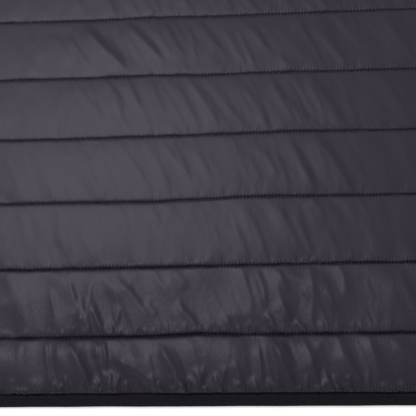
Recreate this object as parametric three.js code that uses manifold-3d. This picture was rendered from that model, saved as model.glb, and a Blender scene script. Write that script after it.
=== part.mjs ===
// Quilted softshell jacket, zipped and laid flat with its back up.
// Millimetres. X runs to the right sleeve, Y from hem to collar, Z up.
// The fronts lie underneath with their outer face flat at z = 0, and the
// back lies on them. The origin is the middle of the underside's box.
import * as THREE from 'three';
import { mergeVertices } from 'three/addons/utils/BufferGeometryUtils.js';
import Module from 'manifold-3d';

const wasm = await Module();
wasm.setup();

// ---- driving sizes ----------------------------------------------------------
const SEAM_GAP = 0.3;            // between neighbouring pieces
const TOTAL_LENGTH = 740;        // hem to the collar's highest points
const HEM_BAND = 10.3;           // binding round hem and cuffs
const FIRST_CHANNEL = 49;        // hem binding to the lowest quilting seam
const CHANNEL = 60;              // pitch of the seams above it
const HALF_HEM = 265;
const UNDERARM = { x: 270, y: 405 };
const SHOULDER = { x: 222, y: 650 };
const NECK = { x: 92, y: 690 };
const BACK_NECK_DROP = 18;
const FRONT_NECK_DROP = 75;
const COLLAR = { back: 60, front: 58, lean: 0.08, wall: 2 };
COLLAR.side = TOTAL_LENGTH - NECK.y - SEAM_GAP;

// Layers: the height of the surface on which back and fronts meet.
const MEET_EDGE = 2.4;           // at side seams, armholes and shoulders
const MEET_INSIDE = 5.2;         // over the middle of the body
const EDGE_FLAT = 6;             // width of the low strip along those edges
const EDGE_RISE = 30;            // and of the rise inside it
const BACK_WALL = 1.7;           // quilted wall at its seams
const LOFT = 7;                  // padding's rise in a full channel
const LOFT_LOWEST = 8;           // and in the lowest one
const LOFT_AT_EDGE = 0.25;       // share of the loft left at the side seams
const BINDING = 2.1;             // thickness of the folded binding

// Sleeves and cuffs
const SLEEVE = { wall: 1.6, height: 4.25, edgeLow: 1.2, edgeHigh: 3.0, inset: 3 };
const SLEEVE_OUTER_BEND = { x: 388, y: 592 };
const CUFF_OUTER = { x: 713, y: 210 };
const CUFF_INNER = { x: 634, y: 133 };
const SLEEVE_RINGS = 18;
const CAP_FADE = 0.4;            // share of the sleeve that the cap's curve reaches

// Front zip
const ZIP = { frontEdge: 5, tapeIn: 2.2, tapeOut: 14, rabbet: 2.6, chain: 1.9 };
const ZIP_TOP = 672;
const SLIDER = { length: 14, halfWidth: 4.4, plate: 0.6 };
const PULL = { length: 24, halfWidth: 2.5, thick: 0.6, windowHalf: 1.2, windowLength: 4.5 };

// Largest soft folds, pressed into the back's padding: where each starts and
// ends, how far it sinks, and how wide it is.
const BACK_FOLDS = [
  { x0: -150, y0: 372, x1: -105, y1: 415, deep: 2.0, wide: 13 },
  { x0: -120, y0: 352, x1: -72, y1: 306, deep: 2.2, wide: 12 },
  { x0: 88, y0: 292, x1: 132, y1: 246, deep: 2.2, wide: 12 },
  { x0: -196, y0: 230, x1: -160, y1: 186, deep: 2.0, wide: 13 },
  { x0: -125, y0: 96, x1: -108, y1: 60, deep: 2.4, wide: 12 },
  { x0: -70, y0: 52, x1: -48, y1: 14, deep: 2.6, wide: 11 },
  { x0: 70, y0: 56, x1: 92, y1: 16, deep: 2.4, wide: 12 },
  { x0: 190, y0: 110, x1: 214, y1: 66, deep: 2.2, wide: 13 },
  { x0: -232, y0: 360, x1: -196, y1: 420, deep: 2.4, wide: 14 },
  { x0: 236, y0: 364, x1: 190, y1: 430, deep: 2.4, wide: 14 },
  { x0: -60, y0: 535, x1: -14, y1: 484, deep: 2.0, wide: 13 },
  { x0: 60, y0: 652, x1: 104, y1: 604, deep: 2.0, wide: 13 },
];

// Folds across each sleeve: share of its length, rise at the outer and inner
// edge, half its width as a share of the length, and slant.
const SLEEVE_FOLDS = [
  { at: 0.14, outer: 0.4, inner: 2.2, half: 0.05, slant: 0.10 },
  { at: 0.33, outer: 1.6, inner: 0.6, half: 0.05, slant: -0.06 },
  { at: 0.47, outer: 0.5, inner: 2.0, half: 0.045, slant: 0.08 },
  { at: 0.58, outer: 1.8, inner: 1.0, half: 0.04, slant: -0.05 },
  { at: 0.83, outer: 0.6, inner: 1.5, half: 0.05, slant: 0.06 },
];

// ---- solids from grids and outlines ------------------------------------------
const colours = {
  quilted: { color: 0x44424a, roughness: 0.5, metalness: 0 },
  softshell: { color: 0x1d1c20, roughness: 0.8, metalness: 0 },
  binding: { color: 0x19181c, roughness: 0.85, metalness: 0 },
  zip_tape: { color: 0x19181c, roughness: 0.9, metalness: 0 },
  zip_plastic: { color: 0x141416, roughness: 0.4, metalness: 0 },
  zip_metal: { color: 0x2b2b2e, roughness: 0.35, metalness: 0.9 },
};
const materials = Object.fromEntries(Object.entries(colours).map(
  ([name, look]) => [name, new THREE.MeshStandardMaterial({ name, ...look })]));

// A geometry from points and triangles, turned so that its faces point out.
function closedGeometry(points, triangles) {
  let volume = 0;
  for (const [a, b, c] of triangles) {
    const [p, q, r] = [points[a], points[b], points[c]];
    volume += p[0] * (q[1] * r[2] - q[2] * r[1])
      + p[1] * (q[2] * r[0] - q[0] * r[2])
      + p[2] * (q[0] * r[1] - q[1] * r[0]);
  }
  const faces = volume > 0 ? triangles : triangles.map(([a, b, c]) => [a, c, b]);
  const geometry = new THREE.BufferGeometry();
  geometry.setAttribute('position', new THREE.Float32BufferAttribute(points.flat(), 3));
  geometry.setIndex(faces.flat());
  return geometry;
}

// Quads between consecutive loops of equal length; both ways may close.
function gridTriangles(rows, columns, closeRows) {
  const triangles = [];
  const last = closeRows ? rows : rows - 1;
  for (let i = 0; i < last; i += 1) {
    for (let j = 0; j < columns; j += 1) {
      const a = i * columns + j;
      const b = i * columns + (j + 1) % columns;
      const c = ((i + 1) % rows) * columns + (j + 1) % columns;
      const d = ((i + 1) % rows) * columns + j;
      triangles.push([a, b, c], [a, c, d]);
    }
  }
  return triangles;
}

// A bar through closed sections, with a flat fan over each end.
function loft(sections) {
  const columns = sections[0].length;
  const points = sections.flat();
  const triangles = gridTriangles(sections.length, columns, false);
  const end = (sections.length - 1) * columns;
  for (let j = 1; j < columns - 1; j += 1) {
    triangles.push([0, j + 1, j], [end, end + j, end + j + 1]);
  }
  return closedGeometry(points, triangles);
}

// A tube with a wall: outer rings one way, inner rings back again.
function hollowTube(outerRings, innerRings) {
  const rows = [...outerRings, ...[...innerRings].reverse()];
  return closedGeometry(rows.flat(), gridTriangles(rows.length, rows[0].length, true));
}

// A block from a level floor up to a surface z = heightAt(x, y).
function heightBlock(xs, ys, heightAt, floorZ) {
  const triangles = [];
  const top = ys.map((y) => xs.map((x) => [x, y, heightAt(x, y)]));
  const floor = ys.map((y) => xs.map((x) => [x, y, floorZ]));
  const points = [...top.flat(), ...floor.flat()];
  const offset = xs.length * ys.length;
  const index = (i, j) => i * xs.length + j;
  for (let i = 0; i < ys.length - 1; i += 1) {
    for (let j = 0; j < xs.length - 1; j += 1) {
      const [a, b, c, d] = [index(i, j), index(i, j + 1), index(i + 1, j + 1), index(i + 1, j)];
      triangles.push([a, b, c], [a, c, d]);
      triangles.push([a, c, b].map((k) => k + offset), [a, d, c].map((k) => k + offset));
    }
  }
  const wall = (a, b) => triangles.push([a, a + offset, b + offset], [a, b + offset, b]);
  for (let j = 0; j < xs.length - 1; j += 1) {
    wall(index(0, j), index(0, j + 1));
    wall(index(ys.length - 1, j + 1), index(ys.length - 1, j));
  }
  for (let i = 0; i < ys.length - 1; i += 1) {
    wall(index(i + 1, 0), index(i, 0));
    wall(index(i, xs.length - 1), index(i + 1, xs.length - 1));
  }
  return closedGeometry(points, triangles);
}

function toManifold(geometry) {
  const bare = geometry.clone();
  bare.deleteAttribute('normal');
  bare.deleteAttribute('uv');
  const merged = mergeVertices(bare, 1e-4);
  return new wasm.Manifold(new wasm.Mesh({
    numProp: 3,
    vertProperties: new Float32Array(merged.attributes.position.array),
    triVerts: new Uint32Array(merged.index.array),
  }));
}

function toGeometry(manifold) {
  const mesh = manifold.getMesh();
  const geometry = new THREE.BufferGeometry();
  geometry.setAttribute('position', new THREE.Float32BufferAttribute(mesh.vertProperties, 3));
  geometry.setIndex(new THREE.Uint32BufferAttribute(mesh.triVerts, 1));
  return geometry;
}

// A box between two corners, as a solid to cut with or join.
function boxManifold(x0, x1, y0, y1, z0, z1) {
  const box = new THREE.BoxGeometry(x1 - x0, y1 - y0, z1 - z0);
  box.translate((x0 + x1) / 2, (y0 + y1) / 2, (z0 + z1) / 2);
  return toManifold(box);
}

// An upright prism over an outline, taller than any piece on both sides.
function prismManifold(outline) {
  const shape = new THREE.Shape(outline.map(([x, y]) => new THREE.Vector2(x, y)));
  const prism = new THREE.ExtrudeGeometry(shape, { depth: 60, bevelEnabled: false });
  prism.translate(0, 0, -20);
  return toManifold(prism);
}

// ---- the body's outline ------------------------------------------------------
const mirrorX = ([x, y, z]) => (z === undefined ? [-x, y] : [-x, y, z]);
const smooth = (t) => {
  const s = Math.min(Math.max(t, 0), 1);
  return s * s * (3 - 2 * s);
};

// Armhole from underarm to shoulder tip, as evenly spaced parameters.
const ARMHOLE_STEPS = 10;
const armhole = new THREE.CubicBezierCurve(
  new THREE.Vector2(UNDERARM.x, UNDERARM.y),
  new THREE.Vector2(UNDERARM.x - 44, UNDERARM.y + 20),
  new THREE.Vector2(SHOULDER.x - 26, SHOULDER.y - 130),
  new THREE.Vector2(SHOULDER.x, SHOULDER.y),
).getPoints(ARMHOLE_STEPS).map((p) => [p.x, p.y]);

// A neckline's height across the neck: 0 at the middle, 1 at a neck point.
const necklineY = (x, drop, power) => NECK.y - drop * (1 - Math.abs(x / NECK.x) ** power);
const backNeckline = (x) => necklineY(x, BACK_NECK_DROP, 3);
const frontNeckline = (x) => necklineY(x, FRONT_NECK_DROP, 2.4);
const NECK_STATIONS = [86, 74, 58, 40, 22];

const BODY_BOTTOM = HEM_BAND + SEAM_GAP;
const backHalf = [
  [HALF_HEM, BODY_BOTTOM], ...armhole, [NECK.x, NECK.y],
  ...NECK_STATIONS.map((x) => [x, backNeckline(x)]),
];
const backOutline = [
  ...backHalf, [0, backNeckline(0)],
  ...backHalf.map(mirrorX).reverse(),
];
const frontOutline = [
  [ZIP.frontEdge, BODY_BOTTOM], [HALF_HEM, BODY_BOTTOM], ...armhole, [NECK.x, NECK.y],
  ...NECK_STATIONS.map((x) => [x, frontNeckline(x)]),
  [ZIP.frontEdge, frontNeckline(ZIP.frontEdge)],
];

// Distance inside the sewn edges: side seam, armhole and shoulder seam.
const sewnEdge = [[HALF_HEM, -100], [HALF_HEM, 0], ...armhole, [NECK.x, NECK.y]];
const outside = (x, y) => {
  const right = sewnEdge.findIndex((p, i) => i > 0 && y <= p[1] && y >= sewnEdge[i - 1][1]);
  if (right < 0) return y > NECK.y && Math.abs(x) > NECK.x;
  const [[x0, y0], [x1, y1]] = [sewnEdge[right - 1], sewnEdge[right]];
  return Math.abs(x) > x0 + (x1 - x0) * (y - y0) / (y1 - y0);
};
function edgeDistance(x, y) {
  const side = Math.abs(x);
  if (outside(side, y)) return 0;
  let nearest = Infinity;
  for (let i = 1; i < sewnEdge.length; i += 1) {
    const [[x0, y0], [x1, y1]] = [sewnEdge[i - 1], sewnEdge[i]];
    const [dx, dy] = [x1 - x0, y1 - y0];
    const t = Math.min(Math.max(((side - x0) * dx + (y - y0) * dy) / (dx * dx + dy * dy), 0), 1);
    nearest = Math.min(nearest, Math.hypot(side - x0 - t * dx, y - y0 - t * dy));
  }
  return nearest;
}

// ---- heights of the layers -----------------------------------------------------
const rise = (x, y) => smooth((edgeDistance(x, y) - EDGE_FLAT) / EDGE_RISE);
const meetAt = (x, y) => MEET_EDGE + (MEET_INSIDE - MEET_EDGE) * rise(x, y);
const underBack = (x, y) => meetAt(x, y) + SEAM_GAP / 2;
const overFronts = (x, y) => meetAt(x, y) - SEAM_GAP / 2;

const seamYs = [HEM_BAND, HEM_BAND + FIRST_CHANNEL];
while (seamYs.at(-1) < NECK.y) seamYs.push(seamYs.at(-1) + CHANNEL);

const foldDepth = (x, y) => {
  let sink = 0;
  for (const { x0, y0, x1, y1, deep, wide } of BACK_FOLDS) {
    const [dx, dy] = [x1 - x0, y1 - y0];
    const t = ((x - x0) * dx + (y - y0) * dy) / (dx * dx + dy * dy);
    const along = Math.sin(Math.PI * Math.min(Math.max(t, 0), 1));
    const off = Math.hypot(x - x0 - t * dx, y - y0 - t * dy) / wide;
    sink = Math.max(sink, deep * along * Math.exp(-off * off));
  }
  return sink;
};

function quiltedTop(x, y) {
  const channel = Math.min(Math.max(seamYs.findIndex((s) => s > y + 1e-6), 1), seamYs.length - 1);
  const [low, high] = [seamYs[channel - 1], seamYs[channel]];
  const across = Math.min(Math.max((y - low) / (high - low), 0), 1);
  const loft = (channel === 1 ? LOFT_LOWEST : LOFT)
    * (LOFT_AT_EDGE + (1 - LOFT_AT_EDGE) * rise(x, y));
  const pillow = Math.sin(Math.PI * across) ** 0.7;
  return underBack(x, y) + BACK_WALL + pillow * (loft - foldDepth(x, y));
}

// ---- back and fronts -----------------------------------------------------------
const symmetric = (half) => [...half.map((x) => -x).reverse(), ...half];
const quiltColumns = symmetric([
  9, 27, 45, 63, 81, 99, 117, 135, 153, 171, 189, 207, 225, 241, 254, 263, 280,
]);
const plainColumns = symmetric([30, 80, 125, 165, 190, 205, 218, 230, 242, 254, 263, 280]);
const CHANNEL_ROWS = [0, 0.08, 0.3, 0.62, 0.92];
const quiltRows = seamYs.slice(0, -1).flatMap((low, i) => (
  CHANNEL_ROWS.map((share) => low + share * (seamYs[i + 1] - low))));
const plainRows = [
  -5, 200, 380, 400, 412, 425, 440, 460, 490, 520, 550, 580, 605, 625, 640, 652, 663, 674, 685, 700,
];
const BLOCK_TOP = 712;           // blocks run past the neckline and are cut back

function makeBack() {
  const padded = toManifold(heightBlock(quiltColumns, [...quiltRows, BLOCK_TOP], quiltedTop, 0.5));
  const inside = toManifold(heightBlock(plainColumns, plainRows, underBack, -10));
  return toGeometry(padded.intersect(prismManifold(backOutline)).subtract(inside));
}

function makeFront(side) {
  const block = toManifold(heightBlock(plainColumns, plainRows, overFronts, 0));
  const outline = side > 0 ? frontOutline : frontOutline.map(mirrorX).reverse();
  const reach = ZIP.tapeOut + 1.5;
  const underTape = boxManifold(-reach, reach, -20, BLOCK_TOP, ZIP.rabbet, 20);
  return toGeometry(block.intersect(prismManifold(outline)).subtract(underTape));
}

// ---- bindings --------------------------------------------------------------------
// One folded strip along X from x0 to x1, resting on bottomAt(x).
function hemBinding(x0, x1, bottomAt) {
  const stations = [x0];
  for (const x of symmetric([5, 120, 200, 228, 236, 244, 252, 259, 262])) {
    if (x > x0 + 1 && x < x1 - 1) stations.push(x);
  }
  stations.push(x1);
  return loft(stations.map((x) => {
    const z = bottomAt(x);
    return [
      [x, HEM_BAND, z], [x, 1.2, z], [x, 0.3, z + 0.35], [x, 0, z + BINDING / 2],
      [x, 0.3, z + BINDING - 0.35], [x, 1.2, z + BINDING], [x, HEM_BAND, z + BINDING],
    ];
  }));
}

// ---- sleeves ---------------------------------------------------------------------
const outerEdge = new THREE.CubicBezierCurve(
  new THREE.Vector2(SHOULDER.x, SHOULDER.y),
  new THREE.Vector2(SHOULDER.x + 80, SHOULDER.y - 28),
  new THREE.Vector2(SLEEVE_OUTER_BEND.x, SLEEVE_OUTER_BEND.y),
  new THREE.Vector2(CUFF_OUTER.x, CUFF_OUTER.y),
);
const innerEdge = new THREE.CubicBezierCurve(
  new THREE.Vector2(UNDERARM.x, UNDERARM.y),
  new THREE.Vector2(UNDERARM.x + 75, UNDERARM.y - 22),
  new THREE.Vector2(CUFF_INNER.x - 110, CUFF_INNER.y + 110),
  new THREE.Vector2(CUFF_INNER.x, CUFF_INNER.y),
);
const cuffDirection = new THREE.Vector2(CUFF_OUTER.x - CUFF_INNER.x, CUFF_OUTER.y - CUFF_INNER.y)
  .rotateAround(new THREE.Vector2(0, 0), -Math.PI / 2).normalize();

// How far the armhole stands off the straight line between its ends, with the
// seam gap added square to the curve.
const capOffsets = armhole.map(([x, y], k) => {
  const [px, py] = armhole[Math.max(k - 1, 0)];
  const [qx, qy] = armhole[Math.min(k + 1, ARMHOLE_STEPS)];
  const length = Math.hypot(qx - px, qy - py);
  const share = k / ARMHOLE_STEPS;
  return [
    x - UNDERARM.x - share * (SHOULDER.x - UNDERARM.x) + 1.5 * SEAM_GAP * (qy - py) / length,
    y - UNDERARM.y - share * (SHOULDER.y - UNDERARM.y) - 1.5 * SEAM_GAP * (qx - px) / length,
  ];
});

// A point of the sleeve's middle surface: along 0 at the armhole, 1 at the
// binding and beyond it on the binding; k steps from underarm to shoulder.
function sleevePoint(along, k, inset) {
  const reach = Math.min(along, 1);
  const [outer, inner] = [outerEdge.getPoint(reach), innerEdge.getPoint(reach)];
  const width = outer.distanceTo(inner);
  const share = Math.min(Math.max(k / ARMHOLE_STEPS, inset / width), 1 - inset / width);
  const fade = smooth(1 - along / CAP_FADE);
  const past = along > 1 ? (along - 1) * HEM_BAND + SEAM_GAP : 0;
  return [
    inner.x + share * (outer.x - inner.x) + fade * capOffsets[k][0] + past * cuffDirection.x,
    inner.y + share * (outer.y - inner.y) + fade * capOffsets[k][1] + past * cuffDirection.y,
  ];
}

function sleeveFold(along, share) {
  let lift = 0;
  for (const { at, outer, inner, half, slant } of SLEEVE_FOLDS) {
    const off = (along - at - slant * (share - 0.5)) / half;
    lift += (inner + (outer - inner) * share) * Math.exp(-off * off);
  }
  return lift * smooth(along / 0.08) * smooth((1 - along) / 0.08) * Math.sin(Math.PI * share) ** 0.5;
}

// Both rings of the flattened tube at one station: up over the top layer from
// underarm to shoulder edge and back along the lower one.
function sleeveRings(along, extra) {
  const [outer, inner] = [[], []];
  const top = SLEEVE.height + extra;
  const add = (k, upper) => {
    const edge = k === 0 || k === ARMHOLE_STEPS;
    const lift = along > 1 ? 0 : sleeveFold(along, k / ARMHOLE_STEPS);
    const flatTop = edge ? SLEEVE.edgeHigh + extra / 2 : top + lift;
    const flatLow = edge ? SLEEVE.edgeLow : 0;
    outer.push([...sleevePoint(along, k, 0), upper ? flatTop : flatLow]);
    const middle = (flatTop + flatLow) / 2;
    const innerTop = edge ? middle + 0.2 : flatTop - SLEEVE.wall - extra / 2;
    const innerLow = edge ? middle - 0.2 : SLEEVE.wall + extra / 4;
    inner.push([...sleevePoint(along, k, SLEEVE.inset), upper ? innerTop : innerLow]);
  };
  for (let k = 0; k <= ARMHOLE_STEPS; k += 1) add(k, true);
  for (let k = ARMHOLE_STEPS; k >= 0; k -= 1) add(k, false);
  return { outer, inner };
}

function sleeveTube(stations, extra) {
  const rings = stations.map((along) => sleeveRings(along, extra));
  return hollowTube(rings.map((r) => r.outer), rings.map((r) => r.inner));
}

// ---- collar ----------------------------------------------------------------------
// Stations round the neck from the zip, under the neck, over the back of it and
// back to the zip: outer and inner x and z, and the neckline they follow.
function collarSections() {
  const lower = [ZIP.frontEdge, ...[...NECK_STATIONS].reverse()];
  const half = [];
  for (const x of lower) half.push({ x, z: 0, xi: x, zi: ZIP.rabbet, back: false });
  half.push({ x: NECK.x, z: 1.3, xi: NECK.x - 4, zi: 2.75, back: false });
  half.push({ x: NECK.x, z: 3.9, xi: NECK.x - 4, zi: 3.0, back: true });
  for (const x of [...NECK_STATIONS, 0]) {
    const zi = Math.max(underBack(x, backNeckline(x)), 3.1);
    half.push({ x, z: zi + COLLAR.wall, xi: x, zi, back: true });
  }
  const mirrored = half.slice(0, -1).reverse().map((s) => ({ ...s, x: -s.x, xi: -s.xi }));
  const rows = [0, 0.35, 0.7, 1];
  return [...half, ...mirrored].map(({ x, z, xi, zi, back }) => {
    const away = (x / NECK.x) ** 2;
    const foot = (back ? backNeckline(x) : frontNeckline(x)) + SEAM_GAP;
    const middle = back ? COLLAR.back : COLLAR.front;
    const height = middle + (COLLAR.side - middle) * away;
    const point = (px, pz, row) => [px * (1 - COLLAR.lean * row), foot + height * row, pz];
    return [
      ...rows.map((row) => point(x, z, row)),
      ...[...rows].reverse().map((row) => point(xi, zi, row)),
    ];
  });
}

// ---- front zip ---------------------------------------------------------------------
const TAPE = { z0: 2.9, z1: 3.5 };
const CHAIN = { z0: 2.3, z1: 4.1 };
const SLIDER_TOP = ZIP_TOP + 3;
const SLIDER_LOW = SLIDER_TOP - SLIDER.length;
const HINGE = { y: SLIDER_LOW + 6, z: 0.95 };

function zipTape(side) {
  const strip = new THREE.BoxGeometry(ZIP.tapeOut - ZIP.tapeIn, ZIP_TOP - 1, TAPE.z1 - TAPE.z0);
  strip.translate(side * (ZIP.tapeOut + ZIP.tapeIn) / 2, (ZIP_TOP + 1) / 2, (TAPE.z0 + TAPE.z1) / 2);
  return strip;
}

function zipChain() {
  const [low, high, w] = [CHAIN.z0, CHAIN.z1, ZIP.chain];
  const section = (y) => [
    [-w, y, low + 0.5], [-w + 0.5, y, low], [w - 0.5, y, low], [w, y, low + 0.5],
    [w, y, high - 0.5], [w - 0.5, y, high], [-w + 0.5, y, high], [-w, y, high - 0.5],
  ];
  return loft([section(1.5), section(SLIDER_TOP - 4)]);
}

// Two plates round the chain, joined by the post between the tapes' tops, and
// the bridge that holds the pull tab on the outer plate.
function zipSlider() {
  const low = CHAIN.z0 - SEAM_GAP - SLIDER.plate;
  const high = CHAIN.z1 + SEAM_GAP + SLIDER.plate;
  const w = SLIDER.halfWidth;
  const outerPlate = boxManifold(-w, w, SLIDER_LOW, SLIDER_TOP, low, low + SLIDER.plate);
  const innerPlate = boxManifold(-w, w, SLIDER_LOW, SLIDER_TOP, high - SLIDER.plate, high);
  const post = boxManifold(-1.5, 1.5, SLIDER_TOP - 3.4, SLIDER_TOP, low, high);
  const bridge = boxManifold(-0.7, 0.7, HINGE.y - 3.3, HINGE.y + 3.3, 0.1, low + 0.1)
    .subtract(boxManifold(-2, 2, HINGE.y - 2.7, HINGE.y + 2.7, 0.5, low));
  return toGeometry(outerPlate.add(innerPlate).add(post).add(bridge));
}

// The tab lies towards the hem in the groove between the fronts, its
// crossbar caught under the bridge; the mesh is built about the crossbar.
function zipPull() {
  const { halfWidth: w, thick, windowHalf, windowLength, length } = PULL;
  const t = thick / 2;
  const plate = boxManifold(-w, w, -length, t, -t, t);
  const window = boxManifold(-windowHalf, windowHalf, -windowLength, -t, -2, 2);
  return toGeometry(plate.subtract(window));
}

// ---- assembly ----------------------------------------------------------------------
const jacket = new THREE.Group();
jacket.position.y = -TOTAL_LENGTH / 2;

function addPiece(name, geometry, material) {
  const mesh = new THREE.Mesh(geometry, materials[material]);
  mesh.name = name;
  jacket.add(mesh);
  return mesh;
}

const mirrored = (geometry) => {
  const copy = geometry.clone().scale(-1, 1, 1);
  const index = copy.index.array;
  for (let i = 0; i < index.length; i += 3) {
    [index[i + 1], index[i + 2]] = [index[i + 2], index[i + 1]];
  }
  return copy;
};

const steps = (count) => Array.from({ length: count + 1 }, (_, i) => i / count);

addPiece('back', makeBack(), 'quilted');
addPiece('front_right', makeFront(1), 'quilted');
addPiece('front_left', makeFront(-1), 'quilted');
addPiece('hem_band_back', hemBinding(-HALF_HEM, HALF_HEM, (x) => underBack(x, 0)), 'binding');
const frontBinding = hemBinding(ZIP.frontEdge, HALF_HEM, () => 0);
addPiece('hem_band_right', frontBinding, 'binding');
addPiece('hem_band_left', mirrored(frontBinding), 'binding');
const sleeve = sleeveTube(steps(SLEEVE_RINGS), 0);
addPiece('sleeve_right', sleeve, 'softshell');
addPiece('sleeve_left', mirrored(sleeve), 'softshell');
const cuff = sleeveTube([1 + 1e-6, 1.5, 2], 0.5);
addPiece('cuff_right', cuff, 'binding');
addPiece('cuff_left', mirrored(cuff), 'binding');
addPiece('collar', loft(collarSections()), 'softshell');
addPiece('zip_tape_right', zipTape(1), 'zip_tape');
addPiece('zip_tape_left', zipTape(-1), 'zip_tape');
addPiece('zip_chain', zipChain(), 'zip_plastic');
addPiece('zip_slider', zipSlider(), 'zip_metal');
addPiece('zip_pull', zipPull(), 'zip_metal').position.set(0, HINGE.y, HINGE.z);

export default jacket;
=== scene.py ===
"""Looks of a quilted softshell jacket, zipped and laid flat with its back up.

Sizes are in millimetres in the jacket's own layout: x from the middle line, y up
from the hem, z up from the surface it lies on. place() turns them into the frame.
"""
import math

import bpy
import numpy as np
from mathutils import Euler, Matrix, Vector


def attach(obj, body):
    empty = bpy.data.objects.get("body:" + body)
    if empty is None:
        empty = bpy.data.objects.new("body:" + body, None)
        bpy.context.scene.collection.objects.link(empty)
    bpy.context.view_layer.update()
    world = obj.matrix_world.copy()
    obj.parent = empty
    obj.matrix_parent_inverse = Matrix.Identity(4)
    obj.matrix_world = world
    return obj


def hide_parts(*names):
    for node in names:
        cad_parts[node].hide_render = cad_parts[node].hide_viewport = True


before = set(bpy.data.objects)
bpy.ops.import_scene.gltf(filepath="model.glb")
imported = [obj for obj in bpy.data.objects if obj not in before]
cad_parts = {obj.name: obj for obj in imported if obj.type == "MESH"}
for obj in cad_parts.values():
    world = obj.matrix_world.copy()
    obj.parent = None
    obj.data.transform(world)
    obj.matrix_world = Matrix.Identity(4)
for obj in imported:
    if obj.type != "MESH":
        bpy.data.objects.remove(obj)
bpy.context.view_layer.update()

BODY = "garment"
MM = 0.001

# ---- sizes ----
TOTAL_LENGTH = 740.0
SEAM_GAP = 0.3  # between two pieces that are sewn together
HEM_BAND = 10.3
FIRST_CHANNEL, CHANNEL = 49.0, 60.0  # distances between the quilting lines
HALF_HEM = 265.0
UNDERARM = (270.0, 405.0)
SHOULDER = (222.0, 650.0)
NECK = (92.0, 690.0)
BACK_NECK, FRONT_NECK = (18.0, 3), (75.0, 2.4)  # drop of a neckline, and its power
MEET_EDGE, MEET_INSIDE = 2.4, 5.2  # height at which back and fronts meet
EDGE_FLAT, EDGE_RISE = 6.0, 30.0  # width of its flat edge, and of the rise beside that
BACK_WALL = 1.7
THINNEST = 0.35  # the back where it is stitched down
EDGE_RADIUS = 3.0  # rounding of the body's edges
SEAM_RISE = 0.4  # share of the loft that the stitching leaves
LOFT_AT_EDGE = 0.25  # share of the loft that is left at the outline
# Padding of the channels from the hem up, the last row for all above: its rise, how
# square its section is, and how far its crown leans up the garment.
CHANNEL_FORMS = np.array([
    # rise, square, lean
    (7.6, 0.60, 0.32),
    (5.8, 0.28, 0.04),
    (5.0, 0.24, 0.0),
    (4.6, 0.22, 0.0),
    (4.4, 0.22, 0.0),
])
# Spare length of the cloth in those channels, which makes its creases and gathers.
SPARE = np.array([0.022, 0.014, 0.005, 0.003, 0.003])
# Strength of the fine gathers at the seams from the hem up, the last for all above.
PUCKER = np.array([1.0, 0.75, 0.62, 0.45, 0.4, 0.36, 0.34])
CREASE_LEAN = 30  # degrees from upright
SETTLE_STEPS, SETTLE_SHARE = 400, 0.3
BINDING = 2.1  # thickness of the folded binding
RIB = 1.8  # pitch of its ribs
GATHER = 3.1  # distance between the folds at a seam
STITCH, STITCH_LENGTH = 3.1, 2.3  # pitch, and what shows of one
THREAD = 0.42  # thread diameter
STITCH_FORM = ((-0.5, 0.25), (-0.3, 0.9), (0.3, 0.9), (0.5, 0.25))  # place and thickness, as shares
THREAD_RISE = 0.2 * THREAD  # a stitch's middle above the cloth
SEAMS = [HEM_BAND, HEM_BAND + FIRST_CHANNEL]
while SEAMS[-1] < NECK[1]:
    SEAMS.append(SEAMS[-1] + CHANNEL)
SEAMS = np.array(SEAMS)
YOKE = float(SEAMS[-3])  # above it the rows bend up to the shoulder seams


def place(points):
    """Layout millimetres to frame metres."""
    out = np.asarray(points, float) * MM
    out[..., 1] -= TOTAL_LENGTH * MM / 2
    return out


# ---- noise and curves ----
def smooth(t):
    """Eases from 0 to 1 while t does."""
    t = np.clip(t, 0.0, 1.0)
    return t * t * (3.0 - 2.0 * t)


def noise(x, y, seed):
    """Gradient noise of about -1 to 1 with a feature size of 1."""
    angle = np.random.default_rng(seed).uniform(0, 2 * math.pi, (256, 256))
    gx, gy = np.cos(angle), np.sin(angle)
    xi, yi = np.floor(x).astype(int), np.floor(y).astype(int)
    xf, yf = x - xi, y - yi
    ux, uy = smooth(xf), smooth(yf)
    total = 0.0
    for dx in (0, 1):
        for dy in (0, 1):
            i, j = (xi + dx) % 256, (yi + dy) % 256
            weight = (ux if dx else 1 - ux) * (uy if dy else 1 - uy)
            total = total + weight * (gx[i, j] * (xf - dx) + gy[i, j] * (yf - dy))
    return total * 1.6


def bezier(p0, p1, p2, p3, t):
    t = np.asarray(t, float)[..., None]
    p0, p1, p2, p3 = (np.array(p, float) for p in (p0, p1, p2, p3))
    return ((1 - t) ** 3 * p0 + 3 * (1 - t) ** 2 * t * p1
            + 3 * (1 - t) * t ** 2 * p2 + t ** 3 * p3)


def bell(off, reach):
    """1 at no distance, less than half beyond reach."""
    return np.exp(-(off / reach) ** 2)


def rounding(edge, radius, least=0.0):
    """Share of its height that a piece has so far in from its rounded edge."""
    return np.sqrt(np.clip(1 - (1 - edge / radius).clip(0) ** 2, least, 1))


# ---- the body's outline ----
ARMHOLE = bezier(UNDERARM, (UNDERARM[0] - 44, UNDERARM[1] + 20),
                 (SHOULDER[0] - 26, SHOULDER[1] - 130), SHOULDER, np.linspace(0, 1, 11))
SEWN_EDGE = np.vstack([[(HALF_HEM, -100.0), (HALF_HEM, 0.0)], ARMHOLE, [NECK]])


def half_width(y):
    """Half the body's width at height y, up to the shoulder tips."""
    y = np.minimum(y, SHOULDER[1])
    return np.interp(y, SEWN_EDGE[1:-1, 1], SEWN_EDGE[1:-1, 0])


def neckline(x, drop, power):
    return NECK[1] - drop * (1 - np.minimum(np.abs(x) / NECK[0], 1) ** power)


def top_edge(x, drop, power):
    """Shoulder seams and neckline as a height over x."""
    side = np.abs(x)
    shoulder = np.interp(side, [NECK[0], SHOULDER[0]], [NECK[1], SHOULDER[1]])
    return np.where(side < NECK[0], neckline(x, drop, power), shoulder)


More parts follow.
